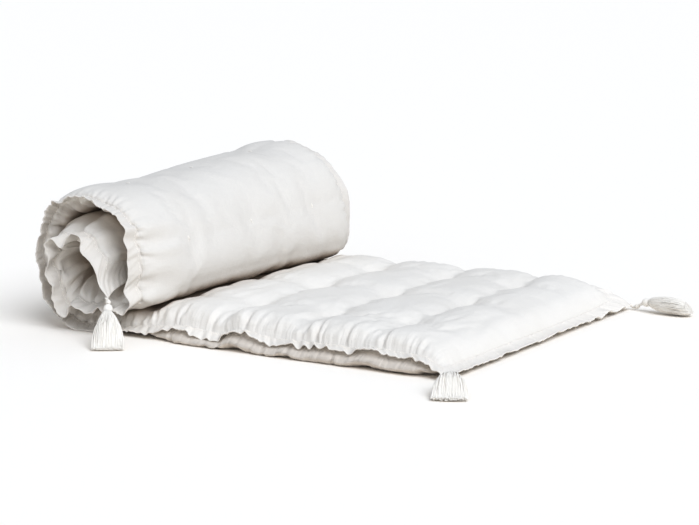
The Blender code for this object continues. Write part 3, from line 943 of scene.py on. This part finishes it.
class TasselPath:
    """Axis of a tassel: from the mattress's corner along the cord, the head and the skirt."""

    def __init__(self, points, side):
        self.line = curve_through([Vector(p) for p in points], 12)
        self.side = Vector(side).normalized()
        self.at = [0.0]
        for a, b in zip(self.line, self.line[1:]):
            self.at.append(self.at[-1] + (b - a).length)

    def frame(self, d):
        """(point, along, side, up) at distance d from the corner; past the end it goes straight on."""
        last = len(self.at) - 2
        k = min(last, max(0, bisect_left(self.at, d) - 1))
        along = (self.line[k + 1] - self.line[k]).normalized()
        point = self.line[k] + along * (d - self.at[k])
        side = (self.side - along * self.side.dot(along)).normalized()
        return point, along, side, side.cross(along)


def corner(at_inner_end, far):
    """(tip of the border at one corner of the mattress, way out of it along the mattress)."""
    s = np.array([LENGTH, LENGTH - 0.004] if at_inner_end else [0.0, 0.004])
    y = np.full(2, HALF_WIDTH if far else -HALF_WIDTH)
    inner, outer = faces_of_case(s, y, BORDER_THICK / 2)
    x, z = middle(s, y)
    return Vector((inner[0] + outer[0]) / 2), Vector((x[0] - x[1], 0.0, z[0] - z[1])).normalized()


def helix(path, start, end, turns, radius, phase, steps):
    """Points of a coil round the tassel's axis."""
    points = []
    for k in range(steps + 1):
        t = k / steps
        point, _, side, up = path.frame(mix(start, end, t))
        turn = tau * turns * t + phase
        points.append(point + (side * cos(turn) + up * sin(turn)) * radius)
    return points


def off_floor(points, radius):
    lift = max(0.0, radius + 0.0002 - min(p.z for p in points))
    return [p + Vector((0, 0, lift)) for p in points]


def make_tassel(name, path, cord, spread, flat, drop, yarn):
    """Twisted cord, knot, head of folded yarns with a bound neck, and a skirt of separate strands."""
    pile = Pile()
    start = cord + HEAD_LONG
    for ply in range(2):
        twists = (cord + 0.006) / CORD_PITCH
        points = helix(path, -0.003, cord + 0.003, twists, CORD_R * 0.52, pi * ply, 42)
        pile.add(tube(points, CORD_R * 0.56, 7))
    knot = cord * 0.48
    for k in range(3):
        radius = CORD_R * (1.05, 1.35, 1.05)[k]
        middle_at = knot + (k - 1) * CORD_R * 0.85
        ring = helix(path, middle_at - 0.0006, middle_at + 0.0006, 1.15, radius, 0.6 + 2.1 * k, 20)
        pile.add(tube(ring, CORD_R * 0.48, 7))
    rings = []
    for share, size in HEAD_PROFILE:
        point, _, side, up = path.frame(cord + HEAD_LONG * share)
        ring = []
        for k in range(72):
            turn = tau * k / 72
            groove = 1 - 0.07 * abs(sin(turn * 9 + 0.5 * share)) ** 0.5
            ring.append(point + (side * cos(turn) + up * sin(turn)) * HEAD_R * size * groove)
        rings.append(off_floor(ring, 0))
    pile.add(lofted(rings))
    binding = helix(path, start - 0.0022, start + 0.0042, 5.2, NECK_R * 1.04, 0.3, 90)
    pile.add(tube(off_floor(binding, 0.0006), 0.00065, 6))

    def skirt_size(t):
        opening = sin(min(1.0, t) * pi / 2) ** mix(0.45, 0.62, drop)
        full = mix(NECK_R * 0.93, spread, opening)
        return full * (1 - 0.35 * (1 - drop) * max(0.0, (t - 0.7) / 0.3) ** 2)

    def skirt_point(a, b, t, size, least):
        """Point of the skirt at shares a and b of its half width and height: its upper yarns are the
        outer ones at the tips, where all of them drop to the floor."""
        out = max(0.0, t)
        shorter = 0.91 + 0.09 * b
        point, _, side, up = path.frame(start + SKIRT_LONG * t * mix(1.0, shorter, out))
        high = mix(1.0, flat, min(1.0, out * 1.6))
        point = point + side * (a * size) + up * (b * size * high)
        fall = drop * float(smooth_step((out - 0.42) / 0.62)) ** 1.25
        return Vector((point.x, point.y, max(least, mix(point.z, least + 0.001, fall))))

    rings = []
    for k in range(11):
        t = mix(-0.03, 0.95, k / 10)
        size = skirt_size(max(0.0, t)) * 0.80
        ring = []
        for m in range(96):
            turn = tau * m / 96
            groove = 1 - 0.05 * abs(sin(turn * 16)) - 0.03 * abs(sin(turn * 25 + 1.3 * t))
            ring.append(skirt_point(cos(turn) * groove, sin(turn) * groove, t, size, 0.0006))
        rings.append(ring)
    pile.add(lofted(rings))

    golden = pi * (3 - sqrt(5))
    locks = [(sqrt((i + 0.5) / LOCKS), i * golden) for i in range(LOCKS)]
    locks = [(r * cos(a), r * sin(a)) for r, a in locks]
    for i in range(STRANDS):
        r, turn = sqrt((i + 0.5) / STRANDS), i * golden
        a, b = r * cos(turn), r * sin(turn)
        lock = min(locks, key=lambda c: (c[0] - a) ** 2 + (c[1] - b) ** 2)
        ragged = uniform(0.955, 1.01)
        drift = (RNG.gauss(0, 0.05), RNG.gauss(0, 0.05))
        wave, phase, other = uniform(0.0002, 0.0010), uniform(0, 6.3), uniform(0, 6.3)
        low = uniform(0, 0.004)
        points = []
        for k in range(11):
            t = mix(-0.03, ragged, k / 10)
            out = max(0.0, t)
            clump = 0.26 * out
            pa, pb = mix(a, lock[0], clump) + drift[0] * out, mix(b, lock[1], clump) + drift[1] * out
            size = skirt_size(out) * 0.9
            bend = wave * min(1.0, out * 3) / size
            pa, pb = pa + bend * sin(8 * t + phase), pb + bend * sin(7 * t + other)
            points.append(skirt_point(pa, pb, t, size, STRAND_R + 0.0003 + low))
        pile.add(tube(points, [STRAND_R * f for f in STRAND_TAPER], 5))
    return pile.make(name + "_yarn", yarn)


def fed(tree, node, inputs):
    """The same node, its inputs linked to other nodes' outputs or set to plain values."""
    for key, value in inputs.items():
        if isinstance(value, bpy.types.NodeSocket):
            tree.links.new(value, node.inputs[key])
        else:
            node.inputs[key].default_value = value
    return node


def math_node(tree, operation, a, b):
    node = tree.nodes.new("ShaderNodeMath")
    node.operation = operation
    return fed(tree, node, {0: a, 1: b}).outputs[0]


def blended(tree, factor, a, b, way="MIX"):
    """Colour a turned into colour b by the factor."""
    node = tree.nodes.new("ShaderNodeMix")
    node.data_type = "RGBA"
    node.blend_type = way
    return fed(tree, node, {"Factor": factor, "A": a, "B": b}).outputs["Result"]


def mapped(tree, value, **limits):
    """Value stretched between limits, such as from_min or to_max."""
    inputs = {key.replace("_", " ").title(): limit for key, limit in limits.items()}
    node = tree.nodes.new("ShaderNodeMapRange")
    return fed(tree, node, {"Value": value, **inputs}).outputs["Result"]


def noise(tree, vector, scale, detail=3.0, roughness=0.5):
    node = tree.nodes.new("ShaderNodeTexNoise")
    inputs = {"Vector": vector, "Scale": scale, "Detail": detail, "Roughness": roughness}
    return fed(tree, node, inputs).outputs["Fac"]


def stretched(tree, vector, scale):
    node = tree.nodes.new("ShaderNodeMapping")
    return fed(tree, node, {"Vector": vector, "Scale": scale}).outputs["Vector"]


def split(tree, vector):
    node = tree.nodes.new("ShaderNodeSeparateXYZ")
    return fed(tree, node, {"Vector": vector}).outputs


def bumped(tree, height, distance, strength, below=None):
    """Normal of a bump, on top of another bump's where one is given."""
    inputs = {"Height": height, "Distance": distance, "Strength": strength}
    if below:
        inputs["Normal"] = below
    return fed(tree, tree.nodes.new("ShaderNodeBump"), inputs).outputs["Normal"]


def point_values(tree, name):
    node = tree.nodes.new("ShaderNodeAttribute")
    node.attribute_name = name
    return node.outputs["Vector"]


def new_material(name, roughness, sheen):
    """(material, its node tree, its shader, object coordinates)."""
    made = bpy.data.materials.new(name)
    made.use_nodes = True
    tree = made.node_tree
    shader = tree.nodes["Principled BSDF"]
    fed(tree, shader, {"Roughness": roughness, "Sheen Weight": sheen, "Sheen Roughness": 0.5})
    shader.inputs["Specular IOR Level"].default_value = 0.25
    return made, tree, shader, tree.nodes.new("ShaderNodeTexCoord").outputs["Object"]


def cloth_material(name, low, high):
    """Plain cotton weave: crossed yarns with slubs, faint mottling, and fine crumpling, with painted shade
    multiplied in from the points' values.
    """
    made, tree, shader, coords = new_material(name, 0.9, 0.12)
    place = point_values(tree, "cloth_place")
    warp = noise(tree, stretched(tree, place, (1, YARN_STRETCH, 1)), YARN_SCALE, 2)
    weft = noise(tree, stretched(tree, place, (YARN_STRETCH, 1, 1)), YARN_SCALE, 2)
    slubs = math_node(tree, "ADD", warp, weft)
    yarns = math_node(tree, "MULTIPLY", slubs, 0.35)
    mottle = math_node(tree, "MULTIPLY", noise(tree, coords, MOTTLE_SCALE, 4), 0.65)
    shade = mapped(tree, math_node(tree, "ADD", yarns, mottle), from_min=0.45, from_max=0.9)
    colour = blended(tree, shade, (*low, 1), (*high, 1))
    # Painted shade: the first value darkens the colour towards the warm shade colour
    painted_shade, gathered, painted_dim = split(tree, point_values(tree, "cloth_painted_shade"))
    colour = blended(tree, painted_shade, colour, (*PAINTED_SHADE_COLOUR, 1), "MULTIPLY")
    # Painted shade: the third value dims the roll's outer face and border towards black
    colour = blended(tree, painted_dim, colour, (0, 0, 0, 1))
    pucker = noise(tree, stretched(tree, place, (1, PUCKER_SQUASH, PUCKER_SQUASH)), PUCKER_SCALE, 2)
    weave = math_node(tree, "ADD", slubs, noise(tree, coords, FUZZ_SCALE))
    normal = bumped(tree, noise(tree, coords, CRUMPLE_SCALE, 5, 0.55), CRUMPLE_HIGH, 0.22)
    normal = bumped(tree, pucker, PUCKER_HIGH, gathered, normal)
    normal = bumped(tree, weave, WEAVE_HIGH, 0.5, normal)
    rough = mapped(tree, slubs, to_min=0.82, to_max=0.97)
    fed(tree, shader, {"Base Color": colour, "Roughness": rough, "Normal": normal})
    return made


def yarn_material(name, low, high):
    """Soft spun cotton: fine fibres and slightly uneven white."""
    made, tree, shader, coords = new_material(name, 0.92, 0.2)
    shade = mapped(tree, noise(tree, coords, YARN_MOTTLE_SCALE), from_min=0.3, from_max=0.7)
    fibre = noise(tree, stretched(tree, coords, (1, 1, 3)), FIBRE_SCALE, 2)
    colour = blended(tree, shade, (*low, 1), (*high, 1))
    fed(tree, shader, {"Base Color": colour, "Normal": bumped(tree, fibre, FIBRE_HIGH, 0.6)})
    return made


def make_stage():
    """Plain pale floor."""
    corners = [(x * FLOOR_HALF, y * FLOOR_HALF, 0) for x, y in ((-1, -1), (1, -1), (1, 1), (-1, 1))]
    made = bpy.data.materials.new("floor_white")
    made.use_nodes = True
    tree = made.node_tree
    shader = tree.nodes["Principled BSDF"]
    fed(tree, shader, {"Base Color": (*FLOOR_COLOUR, 1), "Roughness": 0.9, "Specular IOR Level": 0.1})
    new_object("floor", corners, [(0, 1, 2, 3)], made)


def make_camera():
    """Camera at the photograph's place: 113 mm lens, 10 degrees down."""
    data = bpy.data.cameras.new("camera")
    camera = bpy.data.objects.new("camera", data)
    bpy.context.scene.collection.objects.link(camera)
    data.sensor_width = 36
    data.lens = data.sensor_width * CAMERA_FOCUS / PHOTO_WIDE
    data.clip_end = 120
    turn, down = CAMERA_TURN, CAMERA_DOWN
    way = Vector((-sin(turn) * cos(down), cos(turn) * cos(down), -sin(down)))
    camera.location = CAMERA_AT
    camera.rotation_euler = way.to_track_quat("-Z", "Y").to_euler()
    bpy.context.scene.camera = camera


def make_lights():
    """Soft white studio: a nearly even surround, and a wide light high up on the right."""
    world = bpy.data.worlds.new("studio")
    bpy.context.scene.world = world
    world.use_nodes = True
    tree = world.node_tree
    background = tree.nodes["Background"]
    background.inputs["Color"].default_value = (*COOL, 1)
    way = split(tree, tree.nodes.new("ShaderNodeTexCoord").outputs["Generated"])
    glow = mapped(tree, way["Z"], to_min=SKY[0], to_max=SKY[1])
    tree.links.new(glow, background.inputs["Strength"])
    data = bpy.data.lights.new("key", "SUN")
    data.energy = KEY
    data.angle = radians(KEY_WIDE)
    data.color = COOL
    light = bpy.data.objects.new("key", data)
    bpy.context.scene.collection.objects.link(light)
    light.rotation_euler = (-Vector(KEY_FROM)).to_track_quat("-Z", "Y").to_euler()
    view = bpy.context.scene.view_settings
    view.view_transform = "Standard"
    view.look = "None"
    view.gamma = GAMMA


def main():
    make_camera()
    make_lights()
    make_stage()
    cloth = cloth_material("cotton_cloth_white", *CLOTH_COLOURS)
    trim = cloth_material("cotton_cloth_border", *BORDER_COLOURS)
    thread = yarn_material("cotton_thread", *THREAD_COLOURS)
    yarn = yarn_material("cotton_yarn_white", *YARN_COLOURS)
    case = make_case(cloth)
    border, waves = make_border(trim)
    stitches = make_stitches(thread, waves)
    tufts = make_tufts(thread, case)
    for piece in (case, border, stitches, tufts):
        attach(piece, "root")
        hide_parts("mattress")
    for name, inner_end, far, cord, spread, flat, drop, side, points in TASSELS:
        tip, out = corner(inner_end, far)
        path = [tip, tip + out * CORD_LEAVES, *(tip + Vector(point) * MM for point in points)]
        tassel = make_tassel(name, TasselPath(path, side), cord, spread, flat, drop, yarn)
        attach(tassel, "root")
        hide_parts(name)


main()
